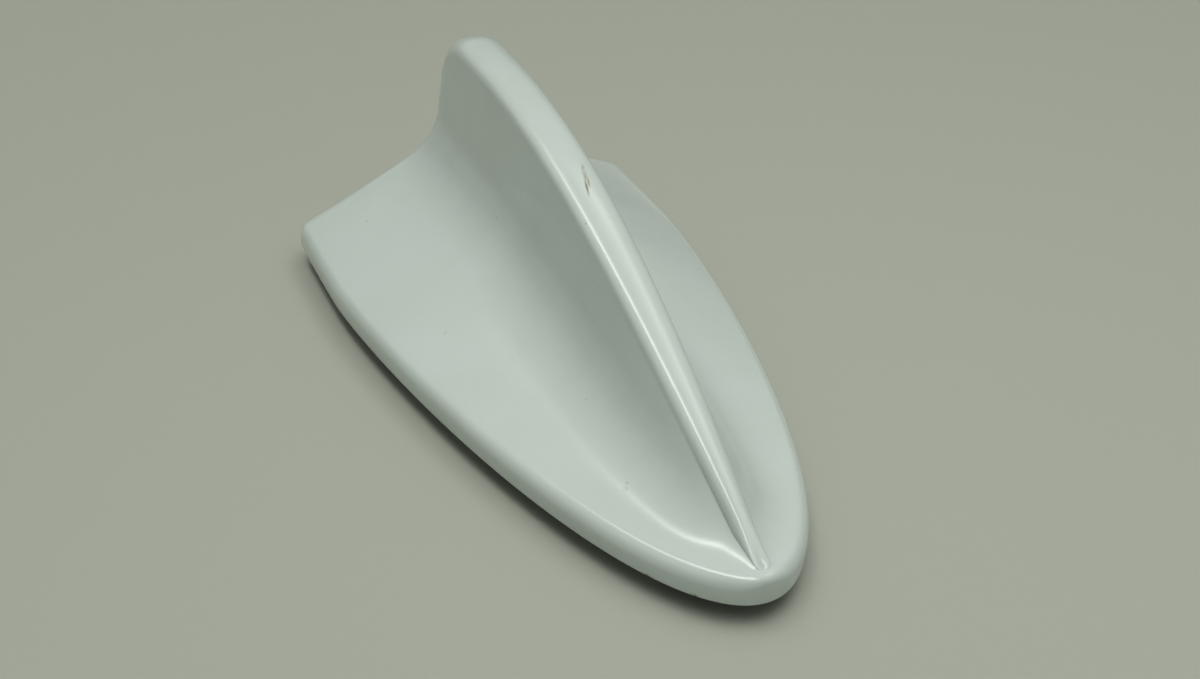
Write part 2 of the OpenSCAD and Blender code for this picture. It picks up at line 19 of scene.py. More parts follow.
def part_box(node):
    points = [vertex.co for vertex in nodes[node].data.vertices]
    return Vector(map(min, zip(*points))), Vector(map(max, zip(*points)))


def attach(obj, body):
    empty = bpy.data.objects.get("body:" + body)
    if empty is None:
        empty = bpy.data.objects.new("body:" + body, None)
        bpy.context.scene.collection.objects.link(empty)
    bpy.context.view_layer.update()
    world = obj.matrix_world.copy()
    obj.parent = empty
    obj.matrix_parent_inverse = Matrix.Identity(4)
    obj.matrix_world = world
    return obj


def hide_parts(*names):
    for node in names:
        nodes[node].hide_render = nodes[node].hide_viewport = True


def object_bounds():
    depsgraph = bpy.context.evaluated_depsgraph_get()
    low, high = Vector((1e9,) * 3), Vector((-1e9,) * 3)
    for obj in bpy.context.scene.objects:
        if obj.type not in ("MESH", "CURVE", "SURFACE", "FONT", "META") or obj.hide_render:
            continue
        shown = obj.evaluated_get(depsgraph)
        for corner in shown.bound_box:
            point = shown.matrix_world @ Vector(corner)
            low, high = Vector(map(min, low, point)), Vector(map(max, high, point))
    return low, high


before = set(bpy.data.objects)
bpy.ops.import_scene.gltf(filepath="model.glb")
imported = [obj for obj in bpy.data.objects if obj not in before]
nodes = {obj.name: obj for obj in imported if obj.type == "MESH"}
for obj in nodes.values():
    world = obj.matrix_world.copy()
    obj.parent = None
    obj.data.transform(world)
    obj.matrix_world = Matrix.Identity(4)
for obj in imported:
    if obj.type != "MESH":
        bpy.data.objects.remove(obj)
cad_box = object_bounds()
scene = bpy.context.scene
MM = 0.001
print("nodes:", len(nodes), "lowest and highest corner:", cad_box)

# %% [markdown]
# ## The camera
#
# The photograph looks down on the nose from the right-hand side. A lens of 50 mm on a
# 36 mm sensor was fitted to the cover's outline, which gives the direction of the view,
# a small roll, and the place of the camera. No shift is needed, because the camera's place
# already carries the framing.

# %% Camera at the photograph's angle
VIEW_AZIMUTH = math.radians(64.76)
VIEW_ELEVATION = math.radians(33.842)
VIEW_ROLL = math.radians(1.202)
CAMERA_PLACE = Vector((270.5, -124.83, 209.43)) * MM


def aim_matrix(azimuth, elevation, roll, place):
    """Place and turn of a camera that looks back along the given direction."""
    back = Vector((
        math.sin(azimuth) * math.cos(elevation),
        -math.cos(azimuth) * math.cos(elevation),
        math.sin(elevation),
    ))
    level = Vector((0, 0, 1)).cross(back).normalized()
    up = back.cross(level)
    right = math.cos(roll) * level + math.sin(roll) * up
    top = back.cross(right)
    turn = Matrix((right, top, back)).transposed()
    return Matrix.Translation(place) @ turn.to_4x4()


camera_data = bpy.data.cameras.new("camera")
camera_data.lens = 50
camera_data.sensor_width = 36
camera_data.clip_start = 0.01
camera = bpy.data.objects.new("camera", camera_data)
camera.matrix_world = aim_matrix(VIEW_AZIMUTH, VIEW_ELEVATION, VIEW_ROLL, CAMERA_PLACE)
scene.collection.objects.link(camera)
scene.camera = camera
print("camera at", [round(c, 4) for c in CAMERA_PLACE])

# %% [markdown]
# ## The floor and the light
#
# A glossy shape shows its form through what it reflects, so the light matters as much as
# the paint. The world is an even pale grey, a little brighter overhead, which leaves the
# flanks of the fin in quiet shade. Two soft bands in it, both along X, draw the bright lines
# that follow the ridge. One lamp above the nose lights the skirt and casts the shadow on the
# floor; it is hidden from mirror rays, because its hard edges would show in the paint.

# %% Floor under the aerial
FLOOR_SIDE = 6.0
FLOOR_COLOUR = (0.40, 0.415, 0.355)


def flat_floor(side, height):
    mesh = bpy.data.meshes.new("floor")
    half = side / 2
    signs = [(-1, -1), (1, -1), (1, 1), (-1, 1)]
    mesh.from_pydata([(half * x, half * y, height) for x, y in signs], [], [(0, 1, 2, 3)])
    floor = bpy.data.objects.new("floor", mesh)
    scene.collection.objects.link(floor)
    return floor


floor = flat_floor(FLOOR_SIDE, cad_box[0][2])
floor_material = bpy.data.materials.new("pale floor")
floor_material.use_nodes = True
floor_shader = floor_material.node_tree.nodes["Principled BSDF"]
floor_shader.inputs["Base Color"].default_value = (*FLOOR_COLOUR, 1)
floor_shader.inputs["Roughness"].default_value = 0.7
floor.data.materials.append(floor_material)
print("floor at", round(cad_box[0][2] / MM, 2), "mm")

# %% Lamps and world
TARGET = Vector((0, 0, 20)) * MM


def softbox(name, direction, distance, width, height, power):
    """An area lamp that faces the object from the given direction, its width along X."""
    data = bpy.data.lights.new(name, "AREA")
    data.shape = "RECTANGLE"
    data.size = width
    data.size_y = height
    data.energy = power
    lamp = bpy.data.objects.new(name, data)
    away = Vector(direction).normalized()
    place = TARGET + away * distance
    side = Vector((1, 0, 0)) - away * away.x
    side.normalize()
    facing = Matrix((side, away.cross(side), away)).transposed().to_4x4()
    lamp.matrix_world = Matrix.Translation(place) @ facing
    scene.collection.objects.link(lamp)
    return lamp


ceiling = softbox("ceiling", (0.28, 0.10, 1.0), 0.45, 0.30, 0.24, 0.49)
ceiling.visible_glossy = False

SKY_COLOUR = (0.95, 0.98, 0.94)
EVEN = 0.11
OVERHEAD = 0.22
LOWEST_SKY = 0.15
BANDS_ABOVE = (0.25, 0.45)
BAND_SOFTNESS = 2.5
BANDS = [
    {"side": -0.20, "reach": 0.28, "ends": (-0.85, -0.12, 0.45, 0.85), "strength": 9.0},
    {"side": 0.48, "reach": 0.34, "ends": (-0.65, -0.40, 0.15, 0.50), "strength": 2.6},
]


def socket_math(tree, operation, *values, clamp=False):
    """One Math node in a world or a material, fed with sockets or numbers."""
    node = tree.nodes.new("ShaderNodeMath")
    node.operation = operation
    node.use_clamp = clamp
    for value, socket in zip(values, node.inputs):
        if isinstance(value, bpy.types.NodeSocket):
            tree.links.new(value, socket)
        else:
            socket.default_value = value
    return node.outputs[0]


def ramp(tree, value, low, high, kind="LINEAR"):
    """The value stretched so that low becomes 0 and high becomes 1."""
    node = tree.nodes.new("ShaderNodeMapRange")
    node.interpolation_type = kind
    node.inputs["From Min"].default_value = low
    node.inputs["From Max"].default_value = high
    tree.links.new(value, node.inputs["Value"])
    return node.outputs["Result"]


def studio_world():
    """A pale grey world, brighter overhead, with soft bands that run along X above."""
    world = bpy.data.worlds.new("studio")
    world.use_nodes = True
    tree = world.node_tree
    background = tree.nodes["Background"]
    background.inputs["Color"].default_value = (*SKY_COLOUR, 1)
    split = tree.nodes.new("ShaderNodeSeparateXYZ")
    tree.links.new(tree.nodes.new("ShaderNodeTexCoord").outputs["Generated"], split.inputs[0])
    up = split.outputs["Z"]
    height = socket_math(tree, "MAXIMUM", up, LOWEST_SKY)
    along = socket_math(tree, "DIVIDE", split.outputs["X"], height)
    across = socket_math(tree, "DIVIDE", split.outputs["Y"], height)
    above = ramp(tree, up, *BANDS_ABOVE, "SMOOTHSTEP")
    higher = ramp(tree, up, 0.0, 1.0, "SMOOTHSTEP")
    total = socket_math(tree, "MULTIPLY_ADD", higher, OVERHEAD, EVEN)
    for band in BANDS:
        offset = socket_math(tree, "ABSOLUTE", socket_math(tree, "SUBTRACT", across, band["side"]))
        offset = socket_math(tree, "DIVIDE", offset, band["reach"])
        profile = socket_math(tree, "SUBTRACT", 1.0, offset, clamp=True)
        profile = socket_math(tree, "POWER", profile, BAND_SOFTNESS)
        first, second, third, fourth = band["ends"]
        for low, high in ((first, second), (fourth, third)):
            end = ramp(tree, along, low, high, "SMOOTHSTEP")
            profile = socket_math(tree, "MULTIPLY", profile, end)
        profile = socket_math(tree, "MULTIPLY", profile, above)
        total = socket_math(tree, "MULTIPLY_ADD", profile, band["strength"], total)
    tree.links.new(total, background.inputs["Strength"])
    return world


scene.world = studio_world()
scene.view_settings.view_transform = "Standard"

# %% [markdown]
# ## Arithmetic on fields
#
# The cover's shape follows a rule: a plan outline, a ridge line, and one cross-section
# that changes smoothly from nose to tail. In Geometry Nodes such a rule is a network of
# Math nodes that works out the place of every vertex of a grid. Written node by node it
# would fill pages, so this small class lets ordinary arithmetic add the nodes.

# %% Numbers that differ from point to point
def operator(operation, swapped=False):
    """A method for one Math operation, with the field on its left or on its right."""
    def method(self, other):
        return calc(operation, other, self) if swapped else calc(operation, self, other)
    return method


class Field:
    """A number at each point of a mesh, kept as a socket of the tree being built."""

    tree = None
    __add__, __radd__ = operator("ADD"), operator("ADD", True)
    __sub__, __rsub__ = operator("SUBTRACT"), operator("SUBTRACT", True)
    __mul__, __rmul__ = operator("MULTIPLY"), operator("MULTIPLY", True)
    __truediv__, __rtruediv__ = operator("DIVIDE"), operator("DIVIDE", True)
    __pow__ = operator("POWER")

    def __init__(self, socket):
        self.socket = socket


def plug(value, socket):
    """Feeds a socket with a field, or sets it to a plain number."""
    if isinstance(value, Field):
        Field.tree.links.new(value.socket, socket)
    else:
        socket.default_value = value


def calc(operation, *values):
    """The result of one Math node."""
    node = Field.tree.nodes.new("ShaderNodeMath")
    node.operation = operation
    for value, socket in zip(values, node.inputs):
        plug(value, socket)
    return Field(node.outputs[0])


def choose(test, yes, no):
    """The field yes where the test is above zero, and no elsewhere."""
    node = Field.tree.nodes.new("GeometryNodeSwitch")
    node.input_type = "FLOAT"
    plug(test, node.inputs["Switch"])
    plug(yes, node.inputs["True"])
    plug(no, node.inputs["False"])
    return Field(node.outputs[0])


def less(a, b):
    """A field of 1 where a is below b, and 0 elsewhere."""
    return calc("LESS_THAN", a, b)


def limit(a):
    """The field kept between 0 and 1."""
    return calc("MINIMUM", calc("MAXIMUM", a, 0.0), 1.0)


def ease(a):
    """A smooth step from 0 to 1."""
    c = limit(a)
    return c * c * (3 - 2 * c)


def hypotenuse(a, b):
    return calc("SQRT", a * a + b * b)


print("field arithmetic ready")

# %% [markdown]
# ## New trees with named sizes
#
# A Geometry Nodes tree shows its sizes as named inputs on the modifier, so a reader can
# change them there. The helper makes such a tree, puts it on an empty mesh, and turns the
# evaluated result into a plain mesh, because the finished piece must not depend on it.

# %% Build a tree, evaluate it, keep the mesh
def connect(tree, *pairs):
    """Links each pair of sockets, an output and an input."""
    for start, end in pairs:
        tree.links.new(start, end)


def new_tree(name, sizes):
    """A tree with a geometry input and output, and one named number for each size."""
    tree = bpy.data.node_groups.new(name, "GeometryNodeTree")
    for way in ("INPUT", "OUTPUT"):
        tree.interface.new_socket("Geometry", in_out=way, socket_type="NodeSocketGeometry")
    for label in sizes:
        tree.interface.new_socket(label, in_out="INPUT", socket_type="NodeSocketFloat")
    tree.interface.new_socket("Finish", in_out="INPUT", socket_type="NodeSocketMaterial")
    source = tree.nodes.new("NodeGroupInput")
    Field.tree = tree
    return tree, source, {label: Field(source.outputs[label]) for label in sizes}


def close_tree(tree, source, geometry):
    """Ends the tree in Realize Instances and Set Material."""
    realize = tree.nodes.new("GeometryNodeRealizeInstances")
    paint = tree.nodes.new("GeometryNodeSetMaterial")
    sink = tree.nodes.new("NodeGroupOutput")
    connect(
        tree,
        (geometry, realize.inputs["Geometry"]),
        (realize.outputs["Geometry"], paint.inputs["Geometry"]),
        (source.outputs["Finish"], paint.inputs["Material"]),
        (paint.outputs["Geometry"], sink.inputs["Geometry"]),
    )


def made_by(tree, name, sizes, material, start=None):
    """The tree's result as a plain mesh object at the origin."""
    carrier = bpy.data.objects.new(name + " carrier", start or bpy.data.meshes.new(name + " start"))
    scene.collection.objects.link(carrier)
    modifier = carrier.modifiers.new("rule", "NODES")
    modifier.node_group = tree
    for item in tree.interface.items_tree:
        if item.in_out == "INPUT" and item.name in sizes:
            modifier[item.identifier] = float(sizes[item.name])
        if item.in_out == "INPUT" and item.name == "Finish":
            modifier[item.identifier] = material
    carrier.update_tag()
    bpy.context.view_layer.update()
    evaluated = carrier.evaluated_get(bpy.context.evaluated_depsgraph_get())
    mesh = bpy.data.meshes.new_from_object(evaluated)
    mesh.name = name
    piece = bpy.data.objects.new(name, mesh)
    scene.collection.objects.link(piece)
    bpy.data.objects.remove(carrier)
    return piece


print("tree helpers ready")

# %% [markdown]
# ## Finishes
#
# Each finish gets its own short function. All start from a Principled shader, and then
# vary its colour, roughness and relief over the surface with noise in object coordinates,
# so the pattern stays on the piece. Two effects are used by many finishes, so each is a
# shader node group: a fine relief, and the uneven film that hands and dust leave.

# %% A finish to start from
def finish(name, colour, roughness, metallic=0.0):
    """A material with its tree, its Principled shader and its object coordinates."""
    material = bpy.data.materials.new(name)
    material.use_nodes = True
    tree = material.node_tree
    shader = tree.nodes["Principled BSDF"]
    shader.inputs["Base Color"].default_value = (*colour, 1)
    shader.inputs["Roughness"].default_value = roughness
    shader.inputs["Metallic"].default_value = metallic
    place = tree.nodes.new("ShaderNodeTexCoord").outputs["Object"]
    return material, tree, shader, place


def group_tree(name, inputs, outputs):
    """An empty shader group with the given named sockets."""
    tree = bpy.data.node_groups.new(name, "ShaderNodeTree")
    for label, kind in inputs:
        tree.interface.new_socket(label, in_out="INPUT", socket_type=kind)
    for label, kind in outputs:
        tree.interface.new_socket(label, in_out="OUTPUT", socket_type=kind)
    return tree, tree.nodes.new("NodeGroupInput"), tree.nodes.new("NodeGroupOutput")


def use_group(tree, group, place, **values):
    """Puts a group into a material and sets its numbers."""
    node = tree.nodes.new("ShaderNodeGroup")
    node.node_tree = group
    tree.links.new(place, node.inputs["Place"])
    for label, value in values.items():
        node.inputs[label].default_value = value
    return node


print("finish helpers ready")

# %% Fine relief, shared by all the finishes
relief_group, relief_in, relief_out = group_tree(
    "fine relief",
    [("Place", "NodeSocketVector"), ("Scale", "NodeSocketFloat"), ("Depth", "NodeSocketFloat")],
    [("Normal", "NodeSocketVector"), ("Mask", "NodeSocketFloat")],
)
grain = relief_group.nodes.new("ShaderNodeTexNoise")
grain.inputs["Detail"].default_value = 3.0
bump = relief_group.nodes.new("ShaderNodeBump")
bump.inputs["Distance"].default_value = 0.0002
connect(
    relief_group,
    (relief_in.outputs["Place"], grain.inputs["Vector"]),
    (relief_in.outputs["Scale"], grain.inputs["Scale"]),
    (relief_in.outputs["Depth"], bump.inputs["Strength"]),
    (grain.outputs["Fac"], bump.inputs["Height"]),
    (bump.outputs["Normal"], relief_out.inputs["Normal"]),
    (grain.outputs["Fac"], relief_out.inputs["Mask"]),
)
print("group:", relief_group.name)

# %% Uneven film left by hands and dust
film_group, film_in, film_out = group_tree(
    "handled film",
    [("Place", "NodeSocketVector"), ("Scale", "NodeSocketFloat"),
     ("Low", "NodeSocketFloat"), ("High", "NodeSocketFloat")],
    [("Roughness", "NodeSocketFloat"), ("Mask", "NodeSocketFloat")],
)
cloud = film_group.nodes.new("ShaderNodeTexNoise")
cloud.inputs["Detail"].default_value = 6.0
cloud.inputs["Roughness"].default_value = 0.62
spread = film_group.nodes.new("ShaderNodeMapRange")
spread.inputs["From Min"].default_value = 0.35
spread.inputs["From Max"].default_value = 0.68
connect(
    film_group,
    (film_in.outputs["Place"], cloud.inputs["Vector"]),
    (film_in.outputs["Scale"], cloud.inputs["Scale"]),
    (cloud.outputs["Fac"], spread.inputs["Value"]),
    (film_in.outputs["Low"], spread.inputs["To Min"]),
    (film_in.outputs["High"], spread.inputs["To Max"]),
    (spread.outputs["Result"], film_out.inputs["Roughness"]),
    (cloud.outputs["Fac"], film_out.inputs["Mask"]),
)
print("group:", film_group.name)


# %% Nodes that many finishes wire in the same way
def wire_relief(tree, shader, place, scale, depth):
    relief = use_group(tree, relief_group, place, Scale=scale, Depth=depth)
    tree.links.new(relief.outputs["Normal"], shader.inputs["Normal"])


def wire_film(tree, shader, place, scale, low, high):
    film = use_group(tree, film_group, place, Scale=scale, Low=low, High=high)
    tree.links.new(film.outputs["Roughness"], shader.inputs["Roughness"])
    return film


def blend_colours(tree, mask, first, second):
    """A colour that goes from first to second with the mask."""
    mix = tree.nodes.new("ShaderNodeMix")
    mix.data_type = "RGBA"
    tree.links.new(mask, mix.inputs["Factor"])
    for value, index in ((first, 6), (second, 7)):
        if isinstance(value, bpy.types.NodeSocket):
            tree.links.new(value, mix.inputs[index])
        else:
            mix.inputs[index].default_value = (*value, 1)
    return mix.outputs[2]


print("wiring helpers ready")

# %% [markdown]
# ## The lacquer
#
# The cover is moulded plastic, sprayed a cool off-white and clear-coated. The colour coat
# is a Principled base, and the clear coat is its Coat. Sprayed lacquer is never a perfect
# mirror: it has a faint orange peel, a few dust nibs, and after years on a roof a thin film.
# The photograph shows a brown scuff on the crown of the ridge, some specks, and chips along
# the lower edge. Each is a mask round a measured place on the surface.

# %% Places and sizes of the marks
SCUFFS = [((-6.4, 1.35, 46.8), (3.6, 0.55, 2.2)), ((-2.4, 0.15, 45.7), (3.4, 0.42, 2.2)),
          ((-3.6, 1.1, 46.2), (2.2, 0.3, 2.0))]
SPECKS = [((48.3, -14.1, 8.6), 0.75), ((47.2, -13.2, 8.6), 0.45), ((-62.2, -29.4, 12.6), 0.45),
          ((4.0, -19.4, 12.6), 0.36), ((63.4, -7.1, 8.0), 0.32), ((24.3, -11.6, 13.2), 0.34)]
CHIPS = [((64.9, -17.1, 1.6), 1.6), ((73.1, -11.6, 1.5), 1.3), ((76.0, -8.8, 1.3), 0.9)]
SCUFF_HEADING = math.radians(-14)
MARK_FADE = 1.6


def near(tree, place, centre, reach, turn=0.0, fray=None):
    """A mask that is 1 at a place on the object and fades out at the reach."""
    shift = tree.nodes.new("ShaderNodeMapping")
    shift.vector_type = "TEXTURE"
    shift.inputs["Location"].default_value = [c * MM for c in centre]
    shift.inputs["Rotation"].default_value = (0, 0, turn)
    shift.inputs["Scale"].default_value = [r * MM for r in reach]
    tree.links.new(place, shift.inputs["Vector"])
    length = tree.nodes.new("ShaderNodeVectorMath")
    length.operation = "LENGTH"
    tree.links.new(shift.outputs["Vector"], length.inputs[0])
    distance = length.outputs["Value"]
    if fray is not None:
        distance = socket_math(tree, "ADD", distance, socket_math(tree, "SUBTRACT", fray, 0.5))
    faded = socket_math(tree, "MULTIPLY_ADD", distance, MARK_FADE, 1 - MARK_FADE)
    return socket_math(tree, "SUBTRACT", 1.0, faded, clamp=True)


def noise(tree, place, scale, detail=4.0, stretch=None):
    """A noise between 0 and 1, drawn out along an axis where a stretch is given."""
    node = tree.nodes.new("ShaderNodeTexNoise")
    node.inputs["Scale"].default_value = scale
    node.inputs["Detail"].default_value = detail
    if stretch:
        mapping = tree.nodes.new("ShaderNodeMapping")
        mapping.inputs["Scale"].default_value = stretch
        tree.links.new(place, mapping.inputs["Vector"])
        place = mapping.outputs["Vector"]
    tree.links.new(place, node.inputs["Vector"])
    return node.outputs["Fac"]


def largest(tree, masks):
    total = masks[0]
    for mask in masks[1:]:
        total = socket_math(tree, "MAXIMUM", total, mask)
    return total


print("marks:", len(SCUFFS) + len(SPECKS) + len(CHIPS))

# %% White lacquer
LACQUER = (0.600, 0.672, 0.626)
LACQUER_DUSTY = (0.555, 0.615, 0.568)
SCUFF_BROWN = (0.27, 0.20, 0.105)
SPECK_BROWN = (0.30, 0.24, 0.17)
CHIP_BROWN = (0.20, 0.14, 0.075)
NIB_STRENGTH, SCUFF_STRENGTH, SPECK_STRENGTH = 0.45, 0.85, 0.55


def white_lacquer():
    material, tree, shader, place = finish("white lacquer", LACQUER, 0.22)
    film = wire_film(tree, shader, place, 26.0, 0.30, 0.42)
    dusty = ramp(tree, film.outputs["Mask"], 0.42, 0.80)
    colour = blend_colours(tree, dusty, LACQUER, LACQUER_DUSTY)
    fray = noise(tree, place, 1500.0)
    drawn = noise(tree, place, 500.0, 5.0, (0.35, 1.0, 1.0))
    scuffs = largest(tree, [near(tree, place, c, r, SCUFF_HEADING, drawn) for c, r in SCUFFS])
    scuffs = socket_math(tree, "MULTIPLY", scuffs, ramp(tree, drawn, 0.34, 0.56))
    specks = largest(tree, [near(tree, place, c, (r, r, 4.0), 0.0, fray) for c, r in SPECKS])
    specks = socket_math(tree, "MULTIPLY", specks, ramp(tree, fray, 0.36, 0.6))
    chips = largest(tree, [near(tree, place, c, (r, r, 0.5), 0.0, fray) for c, r in CHIPS])
    chips = socket_math(tree, "MULTIPLY", chips, ramp(tree, fray, 0.45, 0.56))
    nibs = tree.nodes.new("ShaderNodeTexVoronoi")
    nibs.inputs["Scale"].default_value = 95.0
    tree.links.new(place, nibs.inputs["Vector"])
    dots = ramp(tree, nibs.outputs["Distance"], 0.030, 0.012)
    for mask, strength, brown in (
        (dots, NIB_STRENGTH, SPECK_BROWN),
        (scuffs, SCUFF_STRENGTH, SCUFF_BROWN),
        (specks, SPECK_STRENGTH, SPECK_BROWN),
    ):
        colour = blend_colours(tree, socket_math(tree, "MULTIPLY", mask, strength), colour, brown)
    colour = blend_colours(tree, chips, colour, CHIP_BROWN)
    tree.links.new(colour, shader.inputs["Base Color"])
    worn = largest(tree, [scuffs, chips])
    coat = socket_math(tree, "SUBTRACT", 1.0, worn)
    tree.links.new(coat, shader.inputs["Coat Weight"])
    shader.inputs["Coat Roughness"].default_value = 0.05
    shader.inputs["Coat IOR"].default_value = 1.5
    shader.inputs["Specular IOR Level"].default_value = 0.2
    peel = use_group(tree, relief_group, place, Scale=420.0, Depth=0.018)
    pits = tree.nodes.new("ShaderNodeBump")
    pits.inputs["Distance"].default_value = 0.0002
    pits.inputs["Strength"].default_value = 0.5
    pits.invert = True
    tree.links.new(worn, pits.inputs["Height"])
    tree.links.new(peel.outputs["Normal"], pits.inputs["Normal"])
    tree.links.new(pits.outputs["Normal"], shader.inputs["Normal"])
    tree.links.new(peel.outputs["Normal"], shader.inputs["Coat Normal"])
    return material


lacquer = white_lacquer()
print("finish:", lacquer.name)

# %% [markdown]
# ## Rubber, metal, boards and plastic
#
# The rest is plain work: black rubber with a dusty bloom, zinc with the grain of the die,
# plated steel, green boards with tracks that show through the mask, ceramic, and moulded
# plastic. Each has its own scale of relief.


# %% Rubbers
def patchy(tree, shader, place, colours, film, relief, patch=None):
    """Uneven film, fine relief, and a second colour in patches of the film."""
    mask = wire_film(tree, shader, place, *film).outputs["Mask"]
    wire_relief(tree, shader, place, *relief)
    if patch:
        mask = ramp(tree, mask, *patch)
    tree.links.new(blend_colours(tree, mask, *colours), shader.inputs["Base Color"])


def rubber(name, colour, grain_scale):
    material, tree, shader, place = finish(name, colour, 0.7)
    bloom = tuple(c * 2.2 + 0.02 for c in colour)
    patchy(tree, shader, place, (colour, bloom), (60.0, 0.55, 0.85), (grain_scale, 0.35), (0.45, 0.8))
    return material


FINISH_OF = {
    "white_paint": lacquer,
    "seal_rubber": rubber("seal rubber", (0.030, 0.030, 0.031), 1400.0),
    "gasket_rubber": rubber("gasket rubber", (0.020, 0.020, 0.021), 900.0),
}
print("finishes:", list(FINISH_OF))


# %% Metals
def metal(name, colour, roughness, grain_scale, depth, tarnish=0.8):
    material, tree, shader, place = finish(name, colour, roughness, 1.0)
    dull = tuple(c * tarnish for c in colour)
    film = (90.0, roughness * 0.7, roughness * 1.4)
    patchy(tree, shader, place, (colour, dull), film, (grain_scale, depth), (0.35, 0.75))
    return material


cast_zinc = metal("cast zinc", (0.50, 0.51, 0.52), 0.48, 700.0, 0.35)
zinc_steel = metal("zinc plated steel", (0.62, 0.62, 0.60), 0.30, 1600.0, 0.12)
FINISH_OF.update({
    "cast_zinc": cast_zinc,
    "zinc_steel": zinc_steel,
    "silver_plate": metal("fired silver", (0.75, 0.74, 0.70), 0.42, 1800.0, 0.2),
    "gold_plate": metal("gold plate", (0.78, 0.58, 0.27), 0.24, 1500.0, 0.06, 0.9),
    "tin_plate": metal("tin plate", (0.66, 0.66, 0.66), 0.33, 1300.0, 0.1),
    "copper_foil": metal("copper foil", (0.72, 0.42, 0.28), 0.36, 1500.0, 0.1, 0.6),
})
print("finishes:", len(FINISH_OF))


# %% Boards
def green_board():
    """Solder mask over copper: a weave of glass below, and tracks that stand a little proud."""
    material, tree, shader, place = finish("green board", (0.02, 0.14, 0.06), 0.32)
    tracks = tree.nodes.new("ShaderNodeTexBrick")
    tracks.inputs["Scale"].default_value = 160.0
    tracks.inputs["Mortar Size"].default_value = 0.06
    tree.links.new(place, tracks.inputs["Vector"])
    weave = noise(tree, place, 900.0, 2.0)
    base = blend_colours(tree, weave, (0.015, 0.11, 0.045), (0.03, 0.17, 0.075))
    colour = blend_colours(tree, tracks.outputs["Fac"], base, (0.05, 0.26, 0.10))
    tree.links.new(colour, shader.inputs["Base Color"])
    raised = tree.nodes.new("ShaderNodeBump")
    raised.inputs["Distance"].default_value = 0.00004
    raised.inputs["Strength"].default_value = 0.8
    tree.links.new(tracks.outputs["Fac"], raised.inputs["Height"])
    tree.links.new(raised.outputs["Normal"], shader.inputs["Normal"])
    return material


FINISH_OF["board_green"] = green_board()
print("finish:", FINISH_OF["board_green"].name)


# %% Ceramics and plastics
def moulded(name, colour, roughness, grain_scale, depth):
    material, tree, shader, place = finish(name, colour, roughness)
    shade = tuple(c * 0.82 for c in colour)
    film = (120.0, roughness * 0.85, min(1.0, roughness * 1.2))
    patchy(tree, shader, place, (colour, shade), film, (grain_scale, depth))
    return material


FINISH_OF.update({
    "patch_ceramic": moulded("patch ceramic", (0.62, 0.50, 0.36), 0.55, 1500.0, 0.3),
    "chip_epoxy": moulded("chip epoxy", (0.035, 0.035, 0.04), 0.5, 1800.0, 0.25),
    "passive_ceramic": moulded("small part ceramic", (0.50, 0.38, 0.26), 0.45, 2000.0, 0.2),
    "black_plastic": moulded("black plastic", (0.035, 0.035, 0.035), 0.45, 800.0, 0.25),
    "white_plastic": moulded("white plastic", (0.82, 0.81, 0.77), 0.4, 800.0, 0.1),
})
print("finishes:", len(FINISH_OF))

# %% Put each finish on the solids that carry it
for name, solid in sorted(nodes.items()):
    old = [slot.material.name.split(".")[0] if slot.material else "" for slot in solid.material_slots]
    for slot, label in zip(solid.material_slots, old):
        slot.material = FINISH_OF.get(label, slot.material)
    print(name, old)

# %% [markdown]
# ## The cover's rule
#
# The cover is one moulding: a wide skirt with a rounded side band, a hollow foot, and the
# fin with its rounded crown. A box with a subdivision surface could come close by eye, but
# the solid under it was drawn by a rule, so the same rule is used here on a finer grid, with
# a softer foot, a small lip, and a ridge that fades into the nose. Each row of the grid is
# one cross-section, and each column follows the cover from nose to tail.

# %% Sizes of the rule, in millimetres
cover_low, cover_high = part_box("cover")
COVER = {
    "Length": (cover_high.x - cover_low.x) / MM,
    "Width": (cover_high.y - cover_low.y) / MM,
    "Rim height": cover_low.z / MM,
    "Fin top": 53.4,
    "Wall": 2.2,
    "Shelf": 2.0,
}
LEAD = 131.0
TAPER = 0.3
PLAN_P = 1.367
PLAN_Q = 2.0
FAN_RUN = 60.0
RIDGE_START = 3.0
INNER_START = 1.8
LEAST_RISE = 0.05
RIDGE_RUN = 135.4
RIDGE_POW = 0.92
RIDGE_NOSE_T = 2.5
FIN_T = 11.0
THICK_RUN = 50.0
FIN_DRAFT = math.radians(5.5)
NOSE_DRAFT = math.radians(22)
NOSE_DRAFT_RUN = 75.0
END_DRAFT = math.radians(36)
END_DRAFT_RUN = 36.0
FIN_CAP = 3.2
CAP_POW = 0.8
FOOT_R = 16.4
LONG_LEG = 1.25
TIP_R = 12.0
TAIL_DROP = 0.6
SKIRT_SLOPE = math.radians(25.2)
SKIRT_RUN = 110.0
BAND_NOSE = 6.2
BAND_TAIL = 5.2
BAND_R = 3.0
NOSE_LIFT_RUN = 12.0
TAIL_CORNER_R = 5.0
FIN_TAIL_R = 2.6
TAIL_LEAN = 0.11
SHELF_Z = 4.1
LIP_R = 0.4

# Shares of the room at a section that its parts may fill, and the least sizes they keep.
THICKNESS_SHARE = 0.32
CAP_SHARE = 0.6
EDGE_SHARE = 0.5
LEG_SHARE = 0.85
LEAST_SIDE = 0.35
LEAST_HALF_THICKNESS = 0.5
INNER_EDGE_R = 1.0
LEAST_TAIL_R = 0.06
LEAST_INNER_TAIL_R = 0.4
CROWN_LOSS = 0.98
print({label: round(value, 2) for label, value in COVER.items()})

